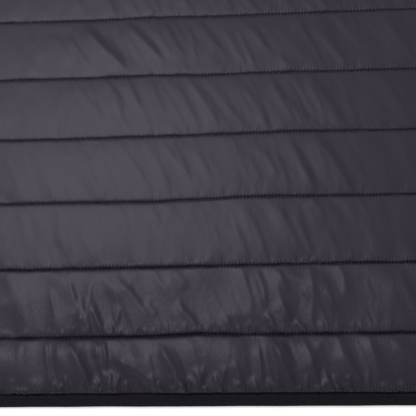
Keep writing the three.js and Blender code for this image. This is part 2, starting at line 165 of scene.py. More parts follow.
def edge_distance(x, y):
    """Distance inside the side seams, armholes and shoulder seams."""
    side = np.abs(x)
    nearest = np.full(side.shape, 1e9)
    for (x0, y0), (x1, y1) in zip(SEWN_EDGE, SEWN_EDGE[1:]):
        dx, dy = x1 - x0, y1 - y0
        t = np.clip(((side - x0) * dx + (y - y0) * dy) / (dx * dx + dy * dy), 0, 1)
        nearest = np.minimum(nearest, np.hypot(side - x0 - t * dx, y - y0 - t * dy))
    return nearest


def meet(x, y):
    """Height of the surface on which back and fronts meet, and its rise, 0 to 1."""
    rise = smooth((edge_distance(x, y) - EDGE_FLAT) / EDGE_RISE)
    return MEET_EDGE + (MEET_INSIDE - MEET_EDGE) * rise, rise


def back_under(x, y):
    """Height of the back's inner face."""
    return meet(x, y)[0] + SEAM_GAP / 2


def seam_distance(y):
    """Distance from the nearest quilting line."""
    return np.min(np.abs(y[..., None] - SEAMS), axis=-1)


def channel_place(y):
    """Index of the channel's lower seam and the place across it, 0 to 1."""
    low = np.clip(np.searchsorted(SEAMS, y, side="right") - 1, 0, len(SEAMS) - 2)
    across = (y - SEAMS[low]) / (SEAMS[low + 1] - SEAMS[low])
    return low, np.clip(across, 0, 1)


def at_seam(table, seam):
    """The table's row for a seam or channel, its last one for all above."""
    return table[np.minimum(seam, len(table) - 1)]


# ---- creases of the back ----
# Each runs from (x0, y0) to (x1, y1). rise is the crest's height, or less than 0 for a
# valley; left and right are the widths of its slopes below left and above right of it,
# and bow is how far its middle bends to the upper right.
CREASES = [
    # x0, y0, x1, y1, rise, left, right, bow
    # lowest channel
    (-124, 56, -101, 15, 2.3, 14, 8, 4),
    (-90, 57, -88, 29, 1.7, 9, 5, 0.5),
    (-87, 31, -95, 17, 1.1, 5, 4, 0),
    (-99, 58, -94, 42, 0.9, 5, 4, 0),
    (-85, 31, -82, 11, 2.2, 6, 7, 0),
    (-38, 12, -82, 42, 2.6, 12, 11, -2),
    (-42, 50, -20, 10, 2.6, 9, 10, 2),
    (-23, 22, -19, 10, 1.2, 3, 4, 0),
    (-10, 32, -9, 11, 1.3, 5, 4, 1),
    (-3, 33, -8, 18, 1.0, 4, 4, 0),
    (4, 24, 1, 10, 0.9, 4, 4, 0),
    (14, 34, 9, 11, 1.0, 6, 4, 0),
    (20, 38, 29, 14, 1.3, 8, 5, 1),
    (26, 20, 20, 10, 0.8, 3, 3, 0),
    (43, 52, 45, 15, 1.3, 5, 6, -1),
    (37, 25, 42, 9, 1.4, 5, 4, 0),
    (52, 58, 71, 10, 2.8, 9, 9, 1.5),
    (60, 54, 71, 32, 1.3, 6, 6, 0),
    (80, 57, 91, 14, 1.7, 10, 8, 1),
    (97, 30, 102, 11, 1.2, 4, 4, 0),
    (104, 26, 108, 11, 1.0, 4, 4, 0),
    (91, 10, 99, 24, 0.9, 4, 4, 0),
    (112, 46, 126, 18, 1.2, 10, 8, 0),
    # second channel
    (-108, 94, -103, 60, 2.3, 7, 6, 1),
    (-102, 88, -92, 61, 1.4, 5, 4, 1),
    (-122, 108, -117, 86, 0.9, 6, 5, 1),
    (-121, 64, -108, 80, 1.0, 5, 4, 0),
    (-83, 111, -48, 69, 1.6, 12, 5, 2.5),
    (-54, 92, -45, 76, 0.9, 5, 4, 0),
    (-86, 72, -82, 60, 1.0, 5, 4, 0),
    (-76, 86, -81, 68, 0.8, 5, 4, 0),
    (-26, 88, -5, 60, 1.9, 10, 7, -1),
    (-28, 116, -18, 100, 0.8, 7, 6, 0),
    (42, 116, 50, 84, 1.2, 6, 5, 1),
    (50, 78, 58, 62, 1.5, 4, 5, 0),
    (60, 88, 71, 72, 1.3, 8, 5, 1),
    (60, 116, 69, 95, 0.9, 5, 5, 0),
    (75, 72, 84, 59, 1.4, 4, 4, 0),
    (89, 118, 86, 60, 1.6, 7, 8, 1.5),
    (82, 100, 87, 89, 0.8, 3, 3, 0),
    (98, 112, 108, 78, 1.2, 9, 7, 0),
    (35, 72, 41, 59, 1.0, 4, 3, 0),
    (14, 76, 22, 60, 0.9, 6, 5, 0),
    # third channel
    (-85, 163, -69, 131, 0.9, 12, 5, 1),
    (-52, 174, -41, 159, 0.7, 6, 4, 0),
    (-40, 160, -30, 175, 0.6, 5, 4, 0),
    (-114, 152, -99, 126, 0.8, 11, 5, 0),
    (23, 154, 35, 127, 0.9, 5, 5, 0),
    (33, 172, 51, 124, 1.1, 9, 5, 1),
    (61, 173, 81, 126, 1.5, 10, 7, 1),
    (77, 164, 92, 123, 1.1, 8, 6, 0),
    (93, 178, 104, 156, 0.9, 7, 5, 0),
    (104, 150, 116, 126, 0.8, 8, 5, 0),
    # fourth channel
    (-109, 212, -97, 234, 0.6, 8, 6, 0),
    (-12, 228, 2, 200, 0.7, 9, 4, 0.5),
    (38, 220, 49, 192, 0.6, 8, 4, 0),
    (52, 225, 64, 195, 0.9, 8, 5, 0),
    (62, 218, 74, 187, 0.8, 7, 4, 0),
    (74, 232, 94, 187, 1.2, 9, 5, 1),
    (88, 203, 98, 184, 0.9, 5, 4, 0),
    (99, 235, 129, 181, 2.0, 12, 6, 1.5),
    # fifth channel
    (-131, 294, -122, 260, 1.1, 8, 4, 1),
    (-111, 293, -99, 260, 0.8, 8, 4, 0),
    (-95, 297, -80, 264, 1.0, 8, 4, 0),
    (-86, 286, -77, 260, 0.7, 5, 3, 0),
    (-75, 297, -62, 266, 0.9, 8, 4, 0),
    (-53, 294, -40, 260, 0.6, 9, 5, 0),
    (-33, 297, -8, 248, 1.0, 11, 5, 1),
    (-15, 293, 14, 244, 0.9, 11, 5, -1),
    (34, 288, 57, 246, 0.8, 10, 5, 0),
    (50, 255, 58, 240, 0.8, 4, 4, 0),
    (60, 289, 83, 242, 1.6, 12, 7, 1),
    (77, 289, 93, 246, 0.9, 7, 4, 0),
    (96, 296, 125, 240, 1.4, 12, 8, 1),
    # sixth and seventh channels
    (-134, 344, -109, 309, 1.7, 9, 5, 0),
    (-118, 353, -75, 305, 3.0, 13, 8, -1),
    (-76, 355, -42, 316, 2.2, 12, 6, -1),
    (-41, 354, -19, 315, 1.4, 11, 5, -0.5),
    (-16, 349, -9, 314, 0.6, 8, 4, 0),
    (-8, 356, 13, 325, 0.9, 10, 5, 0),
    (36, 352, 58, 324, 0.8, 10, 5, 0),
    (68, 316, 84, 300, 0.8, 8, 5, 0),
    (88, 357, 97, 330, 0.7, 8, 5, 0),
    (-101, 394, -87, 362, 1.0, 9, 5, 0),
    (-60, 400, -44, 366, 0.8, 9, 5, 0),
]

# Share of its rise that a crease has when it starts at these heights.
RISE_AT = [60, 100, 150, 200, 280, 330]
RISE_SHARE = [1.35, 1.05, 0.55, 0.42, 0.42, 0.6]
# What the widths left and right are multiplied by: left, and right in the lowest
# channels and in the others.
GENTLE, STEEP = 1.6, (1.0, 1.3)
CREST = 0.4  # rounding of a crease's crest
RUN_ON = 0.1  # share of its length that a crease runs on past each end
# The middle of the back has many thin creases, the rest of it fewer and broader ones.
MIDDLE_HALF, MIDDLE_TOP = 135.0, 370.0
# Rise and height of the short creases above the lowest seams.
GATHERED = [(1.25, 13), (0.6, 8), (0.35, 6), (0.25, 5)]


def line_frame(x, y, x0, y0, x1, y1):
    """Position along a line, 0 to 1, and signed distance to its upper right."""
    dx, dy = x1 - x0, y1 - y0
    length = math.hypot(dx, dy)
    along = ((x - x0) * dx + (y - y0) * dy) / length ** 2
    across = ((x - x0) * -dy + (y - y0) * dx) / length
    return along, across


def add_creases(height, x, y, table):
    """Adds crests and valleys to height, each near its own line only."""
    for x0, y0, x1, y1, rise, left, right, bow in table:
        dx, dy = RUN_ON * (x1 - x0), RUN_ON * (y1 - y0)
        x0, y0, x1, y1 = x0 - dx, y0 - dy, x1 + dx, y1 + dy
        left = GENTLE * left
        reach = left + abs(bow)
        near = ((x > min(x0, x1) - reach) & (x < max(x0, x1) + reach)
                & (y > min(y0, y1) - reach) & (y < max(y0, y1) + reach))
        if not near.any():
            continue
        along, across = line_frame(x[near], y[near], x0, y0, x1, y1)
        middle = np.sin(math.pi * np.clip(along, 0, 1))
        bend = across - bow * middle + 0.7 * noise(along * 3.0, x0 / 7, 97)
        low = smooth((130 - y0) / 30)
        right = right * (STEEP[0] * low + STEEP[1] * (1 - low))
        width = np.where(bend > 0, right, left) * (0.5 + 0.5 * middle ** 0.6)
        slope = np.clip(1 - (np.sqrt(bend ** 2 + CREST ** 2) - CREST) / width, 0, 1)
        section = np.where(bend > 0, slope ** 2, slope ** 1.3)
        ends = smooth(along / 0.3) * smooth((1 - along) / 0.3)
        height[near] += rise * np.interp(y0, RISE_AT, RISE_SHARE) * ends * section


def scattered_creases(seed):
    """Fainter creases of the same slant all over the back, channel by channel."""
    rng = np.random.default_rng(seed)
    table = []
    for low, high in zip(SEAMS, SEAMS[1:]):
        lowest = low < CHANNEL * 2
        x = -280.0
        while x < 280:
            thin = abs(x) < MIDDLE_HALF and high < MIDDLE_TOP
            x += rng.uniform(*((5, 14) if thin else (9, 26)))
            slant = rng.uniform(*((0.1, 0.5) if lowest else (0.35, 0.75)))
            y0 = high - rng.uniform(-0.05, 0.35) * (high - low)
            y1 = high - rng.uniform(0.65, 1.05) * (high - low)
            rise = rng.uniform(*((0.15, 0.5) if thin else (0.3, 1.2)))
            if thin and lowest:
                rise *= 0.6
            width = 0.45 if thin else 1.0
            table.append((x, y0, x + slant * (y0 - y1), y1, rise, width * rng.uniform(6, 13),
                          width * rng.uniform(3.5, 7), rng.uniform(-2, 2)))
    return table


def gathered_creases(seed):
    """Short creases that the hem and the lowest quilting lines gather above them."""
    rng = np.random.default_rng(seed)
    table = []
    for seam, (rise, tall) in zip(SEAMS, GATHERED):
        x = -262.0
        while x < 262:
            x += rng.uniform(3.5, 10)
            y0, y1 = seam + tall * rng.uniform(0.45, 1.4), seam + 0.8
            lean = rng.uniform(-0.25, 0.5) * (y0 - y1)
            table.append((x - lean, y0, x, y1, rise * rng.uniform(0.4, 1.1),
                          rng.uniform(2.0, 3.5), rng.uniform(2.0, 3.6), rng.uniform(-0.8, 0.8)))
    return table


SCATTERED = scattered_creases(11) + gathered_creases(12)


# ---- the back's outer surface ----
FORM_UNDER, FORM_OVER = 0.5, 0.6  # share of the creases put on before the cloth settles, and after
PUCKER_SIDES = ((1, 8.0, 1.2), (-1, 4.0, 0.25))  # reach and share above a seam and below it
# How far the lowest quilting lines, sewn by eye, stray up or down along the back.
DRIFT_AT = [-130, -50, -10, 30, 70, 130]
DRIFT = [
    (0.0, 0.0, 0.0, 0.0, 0.0, 0.0),
    (-1.6, -1.1, 0.5, -0.3, -0.2, -0.2),
    (-2.2, -1.8, -1.2, -0.9, -0.4, -0.4),
    (-1.8, -2.0, -1.0, 0.5, 0.6, 0.1),
    (-0.6, 0.1, 0.0, 0.8, 1.4, 0.6),
    (-0.4, 0.6, -0.6, -0.3, 0.1, -0.7),
]


def crests(x, y, seed):
    """Noise with crests that are sharp, at 1, and soft valleys."""
    return 1 - 2 * np.abs(noise(x, y, seed))


def seam_pucker(x, y):
    """Fine gathers that run off each seam, deepest above the lowest ones."""
    total = np.zeros_like(x)
    for k, seam in enumerate(SEAMS):
        for side, reach, share in PUCKER_SIDES:
            off = side * (y - seam)
            near = (off >= 0) & (off < 4 * reach)
            off = off[near]
            u = x[near] + 0.35 * off * noise(x[near] / 17, off / 40 + k, 31 + k)
            fine = crests(u / 4.6, off / 26 + 3.7 * k, 41 + k)
            broad = noise(u / 10.5, off / 34 + 1.9 * k, 51 + k)
            height = share * at_seam(PUCKER, k) * (0.55 * fine + 0.75 * broad)
            total[near] += height * smooth(off / 2.2) * np.exp(-off / reach)
    return total


def slanted(x, y, degrees):
    """Distances along and across creases that lean so many degrees from upright."""
    sine, cosine = math.sin(math.radians(degrees)), math.cos(math.radians(degrees))
    return y * cosine - x * sine, x * cosine + y * sine


def soft_crumple(x, y):
    """Shallow slanting waves of thin cloth over padding."""
    along, across = slanted(x, y, CREASE_LEAN)
    across = across + 5 * noise(x / 70, y / 60, 61)
    wide = noise(across / 30, along / 110, 62)
    narrow = crests(across / 15, along / 80, 63)
    thin = crests(across / 8, along / 55, 64)
    patch = smooth(0.5 + 0.9 * noise(x / 75, y / 60, 65))
    low = smooth((150 - y) / 90)
    return (0.6 * wide + (0.15 + 0.5 * patch) * narrow
            + (0.08 + 0.25 * patch + 0.2 * low) * thin)


def broad_folds(x, y):
    """Wide folds with soft crests, full in the lowest channels and faint above."""
    along, across = slanted(x, y, 22)
    across = across + 6 * noise(x / 50, y / 40, 66)
    crest = 1 - 2.2 * np.abs(noise(across / 30, along / 60, 67))
    return crest * (0.12 + 0.88 * smooth((150 - y) / 60))


def seam_wave(x, y):
    """How far the quilting lines stray, carried over into the channels between them."""
    low, across = channel_place(y)
    stray = []
    for seam in range(len(SEAMS)):
        drift = 0.9 * noise(x / 95, seam * 1.37, 71)
        if seam < len(DRIFT):
            drift = np.interp(x, DRIFT_AT, DRIFT[seam]) + 0.3 * drift
        stray.append(drift + 0.3 * noise(x / 19, seam * 2.1, 72)
                     + 0.22 * noise(x / 6, seam * 3.3, 73))
    below, above = (np.take_along_axis(np.stack(stray), low[None] + k, axis=0)[0] for k in (0, 1))
    return below * (1 - across) + above * across


def back_form(x, y):
    """The taut outer face of the back over its padding, as points."""
    base, rise = meet(x, y)
    base = base + SEAM_GAP / 2
    low, across = channel_place(y)
    loft, square, lean = np.moveaxis(at_seam(CHANNEL_FORMS, low), -1, 0)
    loft = loft * (LOFT_AT_EDGE + (1 - LOFT_AT_EDGE) * rise)
    loft = loft * (1 + 0.10 * noise(x / 60, low * 3.3, 81))
    leaned = across - lean * across * (1 - across) * 2
    pillow = np.sin(math.pi * leaned) ** np.where(y > YOKE, 0.6, square)
    pillow = SEAM_RISE + (1 - SEAM_RISE) * pillow
    edge = edge_distance(x, y)
    wall = BACK_WALL * rounding(edge, EDGE_RADIUS, 0.04)
    z = base + (wall + loft * pillow) * smooth((y - HEM_BAND) / 3 + 0.3)
    groove = bell(seam_distance(y), np.where(y > YOKE + 2, 1.7, 0.6))
    z = np.maximum(z - 1.3 * groove, base + THINNEST)
    inside = smooth((y - HEM_BAND) / 20) * smooth(edge / 20)
    return np.stack([x, y + seam_wave(x, y) * inside, z], axis=-1)


def spare_cloth(x, y):
    """Spare length across the slanting creases, and along the seams by the gathers."""
    low, across = channel_place(y)
    most = at_seam(SPARE, low)
    patch = smooth(0.5 + 0.8 * noise(x / 60, y / 45, 65))
    slanting = most * (0.1 + 1.1 * patch) * (1.25 - 0.9 * across)
    tall = SEAMS[low + 1] - SEAMS[low]
    gathers = (0.01 + 1.1 * most) * np.exp(-across * tall / 6.0)
    return slanting, gathers


def settle(taut, start, pinned, spares, reach, stiffness):
    """Relaxes cloth that is a little longer than what it covers until it folds.

    Each edge of the grid pulls or pushes to its own length, the cloth resists bending,
    and no point leaves the taut form by more than reach. spares holds pairs of the
    spare length and the direction that it has.
    """
    taut = taut.astype(np.float32)
    cloth = start.astype(np.float32)
    reach = np.asarray(reach, np.float32)
    every, first, last = slice(None), slice(None, -1), slice(1, None)
    edges = []
    for a, b in (((every, first), (every, last)), ((first, every), (last, every)),
                 ((first, first), (last, last)), ((first, last), (last, first))):
        step = taut[b] - taut[a]
        squared = (step ** 2).sum(-1)
        for spare, direction in spares:
            squared += 2 * spare[a] * (step[..., :2] * direction[a]).sum(-1) ** 2
        edges.append((a, b, np.sqrt(squared).astype(np.float32)))
    hold = np.where(pinned, 0, 1).astype(np.float32)[..., None]
    for _ in range(SETTLE_STEPS):
        move = np.zeros_like(cloth)
        for a, b, rest in edges:
            step = cloth[b] - cloth[a]
            length = np.sqrt((step * step).sum(-1))
            pull = step * (0.5 * (1 - rest / length))[..., None]
            move[a] += pull
            move[b] -= pull
        cloth += SETTLE_SHARE * hold * move
        bend = cloth - taut
        for _ in range(2):
            spread = np.zeros_like(bend)
            spread[1:-1, 1:-1] = (bend[1:-1, :-2] + bend[1:-1, 2:] + bend[:-2, 1:-1]
                                  + bend[2:, 1:-1]) / 4 - bend[1:-1, 1:-1]
            bend = spread
        cloth -= stiffness * hold * bend
        away = cloth - taut
        size = np.sqrt((away * away).sum(-1))
        cloth = taut + away * np.minimum(1, reach / np.maximum(size, 1e-6))[..., None]
    return cloth.astype(float)


def back_cloth(x, y):
    """The back's outer face with the creases that its spare cloth makes."""
    taut = back_form(x, y)
    off, edge = seam_distance(y), edge_distance(x, y)
    pinned = (off < 0.3) | (edge < 4.0) | (y < HEM_BAND + 0.5) | (y > NECK[1] - 3)
    free = np.where(pinned, 0, smooth(edge / 8.0))
    form = 1.6 * broad_folds(x, y)
    add_creases(form, x, y, CREASES + SCATTERED)
    form *= smooth(off / 3.0 + 0.15) * free
    taut[..., 2] += FORM_UNDER * form
    start = taut.copy()
    start[..., 2] += (0.35 * soft_crumple(x, y) + seam_pucker(x, y)) * free
    lean = math.radians(CREASE_LEAN)
    spares = [(spare, np.broadcast_to(direction, (*x.shape, 2))) for spare, direction
              in zip(spare_cloth(x, y), ((math.cos(lean), math.sin(lean)), (1.0, 0.0)))]
    reach = 1.6 * smooth(edge / 12 + 0.1)
    cloth = settle(taut, start, pinned, spares, reach, stiffness=0.014)
    cloth[..., 2] += FORM_OVER * form
    cloth[..., 2] = np.maximum(cloth[..., 2], back_under(x, y) + THINNEST)
    return cloth


# ---- meshes ----
def link_object(name, data):
    obj = bpy.data.objects.new(name, data)
    bpy.context.scene.collection.objects.link(obj)
    return obj


def add_object(name, points, faces, material, smooth_shaded=True):
    mesh = bpy.data.meshes.new(name)
    mesh.from_pydata(place(points).tolist(), [], faces)
    mesh.polygons.foreach_set("use_smooth", [smooth_shaded] * len(mesh.polygons))
    mesh.materials.append(material)
    return link_object(name, mesh)


def grid_faces(rows, columns, start=0, around=False):
    """Quads between rows of points; around joins the last column to the first."""
    i, j = np.meshgrid(np.arange(rows - 1), np.arange(columns - (not around)), indexing="ij")
    a, b = start + i * columns + j, start + i * columns + (j + 1) % columns
    return np.stack([a, b, b + columns, a + columns], axis=-1).reshape(-1, 4).tolist()


def rod_faces(rows, columns, start=0):
    """Quads round a rod's closed sections, and a flat face at each end."""
    end = start + np.arange(columns)
    return (grid_faces(rows, columns, start, around=True)
            + [end[::-1].tolist(), (end + (rows - 1) * columns).tolist()])


def rim_loop(rows, columns, start=0):
    """The grid's outer points, anticlockwise from its first corner."""
    grid = np.arange(start, start + rows * columns).reshape(rows, columns)
    return np.concatenate([grid[0], grid[1:, -1], grid[-1, -2::-1], grid[-2:0:-1, 0]]).tolist()


def panel(name, top, bottom, skip, material):
    """A closed panel: a fine upper grid over a lower one with every skip-th point."""
    rows, columns = top.shape[:2]
    lower = bottom[::skip, ::skip]
    count = rows * columns
    points = np.vstack([top.reshape(-1, 3), lower.reshape(-1, 3)])
    faces = grid_faces(rows, columns)
    faces += [quad[::-1] for quad in grid_faces(*lower.shape[:2], count)]
    fine, coarse = rim_loop(rows, columns), rim_loop(*lower.shape[:2], count)
    half = skip // 2
    for n, here in enumerate(coarse):
        there = coarse[(n + 1) % len(coarse)]
        span = [fine[(n * skip + m) % len(fine)] for m in range(skip + 1)]
        faces += [[here, span[m + 1], span[m]] for m in range(half)]
        faces.append([here, there, span[half]])
        faces += [[there, span[m + 1], span[m]] for m in range(half, skip)]
    return add_object(name, points, faces, material)


def tube(name, outer, inner, material):
    """A walled tube from rings of outer points and of the matching inner ones."""
    rings = np.concatenate([outer, inner[::-1]])
    rows, columns = rings.shape[:2]
    quads = np.array(grid_faces(rows + 1, columns, around=True)) % (rows * columns)
    return add_object(name, rings.reshape(-1, 3), quads[:, [0, 3, 2, 1]].tolist(), material)


def bar(name, sections, material):
    """A bar through closed sections, with a flat face at each end."""
    return add_object(name, sections.reshape(-1, 3), rod_faces(*sections.shape[:2]), material)


def stitches(name, centres, directions, material):
    """Short fat threads lying along the surface, joined into one mesh."""
    turn = np.linspace(0, 2 * math.pi, 6, endpoint=False)
    points, faces = [], []
    for centre, (dx, dy) in zip(centres, directions / np.hypot(*directions.T)[:, None]):
        faces += rod_faces(len(STITCH_FORM), len(turn), len(points))
        for share, size in STITCH_FORM:
            ahead = share * STITCH_LENGTH
            wide, high = THREAD / 2 * size * np.cos(turn), THREAD / 2 * size * np.sin(turn)
            points.extend(centre + np.stack([dx * ahead - dy * wide, dy * ahead + dx * wide,
                                             high], axis=-1))
    piece = add_object(name, np.array(points), faces, material)
    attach(piece, BODY)


def sided(name, side):
    return name + ("_right" if side > 0 else "_left")


def mirrored(side, points):
    """A grid of the right side's points, turned over where side is -1."""
    return points[:, ::side] * (side, 1, 1)


# ---- materials ----
BANDS = 314.0  # pitch of a wave texture with a scale of 1


class Look:
    """A material in the making, with one short call for each kind of node."""

    def __init__(self, name):
        self.material = bpy.data.materials.new(name)
        self.material.use_nodes = True
        self.tree = self.material.node_tree
        self.where = self.add("TexCoord", {}).outputs["Object"]

    def fill(self, node, inputs):
        """Sets a node's inputs to numbers, colours or other nodes' outputs."""
        for key, value in inputs.items():
            if isinstance(value, bpy.types.NodeSocket):
                self.tree.links.new(value, node.inputs[key])
            else:
                node.inputs[key].default_value = value

    def add(self, kind, inputs, **settings):
        node = self.tree.nodes.new("ShaderNode" + kind)
        for key, value in settings.items():
            setattr(node, key, value)
        self.fill(node, inputs)
        return node

    def shader(self, colour, roughness, **others):
        """Sets the main shader; the names of its other inputs are joined with _."""
        inputs = {key.replace("_", " "): value for key, value in others.items()}
        self.fill(self.tree.nodes["Principled BSDF"],
                  {"Base Color": colour, "Roughness": roughness, **inputs})

    def bumps(self, *heights):
        """Chains bumps: each a height, its distance in millimetres and its strength."""
        normal = {}
        for height, distance, strength in heights:
            bump = self.add("Bump", {"Height": height, "Distance": distance * MM,
                                     "Strength": strength, **normal})
            normal = {"Normal": bump.outputs["Normal"]}
        self.fill(self.tree.nodes["Principled BSDF"], normal)

    def math(self, operation, *values):
        return self.add("Math", dict(enumerate(values)), operation=operation).outputs["Value"]

    def layer(self, name):
        return self.add("Attribute", {}, attribute_name=name).outputs["Fac"]

    def lumps(self, where, scale, **others):
        inputs = {"Vector": where, "Scale": scale, **others}
        return self.add("TexNoise", inputs).outputs["Fac"]

    def waves(self, where, direction, scale, distortion, detail_scale=1.0):
        inputs = {"Vector": where, "Scale": scale, "Distortion": distortion,
                  "Detail Scale": detail_scale}
        return self.add("TexWave", inputs, bands_direction=direction).outputs["Fac"]

    def mottled(self, colour, spread, scale):
        """A base colour that varies a little in soft patches."""
        ramp = self.add("ValToRGB", {"Fac": self.lumps(self.where, scale, Detail=4)})
        for stop, position, share in zip(ramp.color_ramp.elements, (0.3, 0.7), (-spread, spread)):
            stop.position = position
            stop.color = (*[part * (1 + share) for part in colour], 1)
        return ramp.outputs["Color"]

    def darkened(self, colour, painted_shade, left):
        """Paints shade: darkens a colour to the share left where painted_shade is 1."""
        mix = self.add("Mix", {"Factor": painted_shade}, data_type="RGBA", blend_type="MULTIPLY")
        first, second = (socket for socket in mix.inputs if socket.type == "RGBA")
        self.tree.links.new(colour, first)
        second.default_value = (left, left, left, 1)
        return next(socket for socket in mix.outputs if socket.type == "RGBA")

    def crumple(self, scale, stretch):
        """Small soft creases, longer than they are wide."""
        turned = self.add("Mapping", {"Vector": self.where, "Scale": (1, stretch, 1),
                                      "Rotation": (0, 0, -math.radians(CREASE_LEAN))})
        return self.lumps(turned.outputs["Vector"], scale, Detail=3, Roughness=0.55)

    def crinkle(self, scale, stretch):
        """Crisp crests of thin cloth, sharp where the noise passes its middle."""
        off = self.math("ABSOLUTE", self.math("SUBTRACT", self.crumple(scale, stretch), 0.5))
        return self.math("MULTIPLY", off, -1.0)

    def weave(self, pitch):
        """Plain weave: threads along x and y that pass over and under each other."""
        return self.math("MULTIPLY", *[self.waves(self.where, axis, BANDS / pitch, 0.6, 2.0)
                                       for axis in ("X", "Y")])


def nylon_material():
    look = Look("quilted_nylon")
    gathered = look.layer("gather")
    folds = look.math("MULTIPLY", look.waves(look.where, "X", BANDS / GATHER, 5.0, 1.6), gathered)
    # painted shade: the valleys between the gathered folds, with the painted_shade layer, darken
    # the base colour down to 0.45
    between = look.math("SUBTRACT", gathered, folds)
    painted_shade = look.math("MULTIPLY_ADD", between, 0.22, look.layer("painted_shade"))
    colour = look.mottled((0.0200, 0.0165, 0.0275), 0.05, 9.0)
    look.shader(look.darkened(colour, painted_shade, 0.45), 0.5, Specular_IOR_Level=0.3,
                Specular_Tint=(0.94, 0.88, 1.0, 1))
    crumpled = look.layer("crumple")
    broad = look.math("MULTIPLY", look.crinkle(75.0, 0.40), crumpled)
    fine = look.math("MULTIPLY", look.crumple(260.0, 0.9), crumpled)
    look.bumps((broad, 1.5, 0.5), (fine, 0.4, 0.6), (folds, 0.9, 1.0),
               (look.weave(0.45), 0.04, 0.5))
    return look.material


def softshell_material():
    look = Look("softshell")
    look.shader(look.mottled((0.0135, 0.0118, 0.0170), 0.10, 14.0), 0.62,
                Specular_IOR_Level=0.34, Specular_Tint=(0.94, 0.90, 1.0, 1),
                Sheen_Weight=0.03, Sheen_Roughness=0.6)
    look.bumps((look.crumple(40.0, 0.6), 1.6, 0.5), (look.crinkle(30.0, 0.5), 4.0, 0.5),
               (look.weave(0.7), 0.08, 0.6))
    return look.material


def binding_material(name, turn):
    """Fine ribs run along the strip, which is turned by so many degrees from x."""
    look = Look(name)
    look.shader(look.mottled((0.0063, 0.0053, 0.0092), 0.35, 700.0), 0.75,
                Specular_IOR_Level=0.15)
    turned = look.add("Mapping", {"Vector": look.where, "Rotation": (0, 0, math.radians(turn))},
                      vector_type="TEXTURE")
    ribs = look.waves(turned.outputs["Vector"], "Y", BANDS / RIB, 1.5)
    look.bumps((ribs, 0.7, 0.8), (look.weave(0.6), 0.06, 0.5))
    return look.material


def thread_material():
    look = Look("thread")
    look.shader(look.mottled((0.016, 0.0155, 0.019), 0.15, 400.0), 0.6)
    look.bumps((look.waves(look.where, "DIAGONAL", 900.0, 0.0), 0.05, 0.6))
    return look.material


def hard_material(name, colour, roughness, metallic):
    look = Look(name)
    look.shader(look.mottled(colour, 0.12, 300.0), roughness, Metallic=metallic)
    look.bumps((look.lumps(look.where, 2500.0), 0.02, 0.4))
    return look.material


def floor_material():
    look = Look("pale_floor")
    look.shader(look.mottled((0.86, 0.86, 0.865), 0.01, 3.0), 0.8,
                Emission_Color=(1, 1, 1, 1), Emission_Strength=0.42)
    return look.material


# ---- camera and light ----
VIEW_POINT = (25.0, 65.0, 518.0)  # the camera in the layout, nearly above the back
VIEW_TURN = (11.7, 2.9, -0.6)  # its pitch, yaw and roll off straight down, degrees
KEY_AT, KEY_TARGET = (-0.38, 0.1, 1.2), (-0.1, -0.15, 0.0)  # metres in the frame
KEY_SIZE, KEY_POWER = 0.5, 11.5
FLOOR_HALF, FLOOR_DROP = 40.0, 0.0002


def add_camera():
    data = bpy.data.cameras.new("camera")
    data.lens = 50.0
    data.sensor_width = 36.0
    camera = link_object("camera", data)
    turn = Euler([math.radians(angle) for angle in VIEW_TURN])
    camera.matrix_world = Matrix.LocRotScale(Vector(place(VIEW_POINT)), turn, None)
    bpy.context.scene.camera = camera


def add_lights():
    data = bpy.data.lights.new("key", "AREA")
    data.size = KEY_SIZE
    data.energy = KEY_POWER
    key = link_object("key", data)
    key.location = KEY_AT
    aim = Vector(KEY_TARGET) - Vector(KEY_AT)
    key.rotation_euler = aim.to_track_quat("-Z", "Y").to_euler()
    world = bpy.data.worlds.new("world")
    bpy.context.scene.world = world
    world.use_nodes = True
    background = world.node_tree.nodes["Background"]
    background.inputs["Color"].default_value = (1, 1, 1, 1)
    background.inputs["Strength"].default_value = 0.5
    bpy.context.scene.view_settings.view_transform = "Standard"


def add_floor(material):
    mesh = bpy.data.meshes.new("floor")
    corners = [(x * FLOOR_HALF, y * FLOOR_HALF, 0) for x, y in ((-1, -1), (1, -1), (1, 1), (-1, 1))]
    mesh.from_pydata(corners, [], [(0, 1, 2, 3)])
    mesh.materials.append(material)
    floor = link_object("floor", mesh)
    floor.location.z = -FLOOR_DROP


# ---- putting each piece of cloth on the body, and its stitches ----
def sew(piece, node, slot, flat, rests_on, held="laid", **more):
    """Attaches a piece of cloth to the body and hides the node that it stands for; flat is its cut
    size, and is not used.
    """
    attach(piece, BODY)
    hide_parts(node)


def dress(piece, node, slot, face, rests_on):
    """Sews a piece with the size of face, its outer face before it creases."""
    length = np.linalg.norm(np.diff(face, axis=0), axis=-1).sum(0).max() * MM
    width = np.linalg.norm(np.diff(face, axis=1), axis=-1).sum(1).max() * MM
    a, b = face[1:, :-1] - face[:-1, :-1], face[:-1, 1:] - face[:-1, :-1]
    area = float(np.linalg.norm(np.cross(a, b), axis=-1).sum()) * MM * MM
    sew(piece, node, slot, (width, length), rests_on, area=min(area, width * length))


def topstitch(name, lines, side, material):
    """Rows of stitches on lines of surface points; side is 1 on top and -1 underneath."""
    centres, directions = [], []
    for line in lines:
        far = np.concatenate([[0], np.cumsum(np.hypot(*np.diff(line[:, :2], axis=0).T))])
        at = np.arange(STITCH / 2, far[-1], STITCH)
        centre, ahead, before = (np.stack([np.interp(at + step, far, part) for part in line.T], -1)
                                 for step in (0, 1, -1))
        centre[:, 2] += side * THREAD_RISE
        centres.append(centre)
        directions.append((ahead - before)[:, :2])
    stitches(name, np.vstack(centres), np.vstack(directions), material)


# ---- back ----
SKIP = 6  # the inner face has every sixth point
FINE_REACH = 145.0  # half the width that has five columns to two stitches
FINE_TOP = 380.0  # height up to which the channels have all their rows
BACK_FLAT = (0.54, 0.69)  # cut size in metres


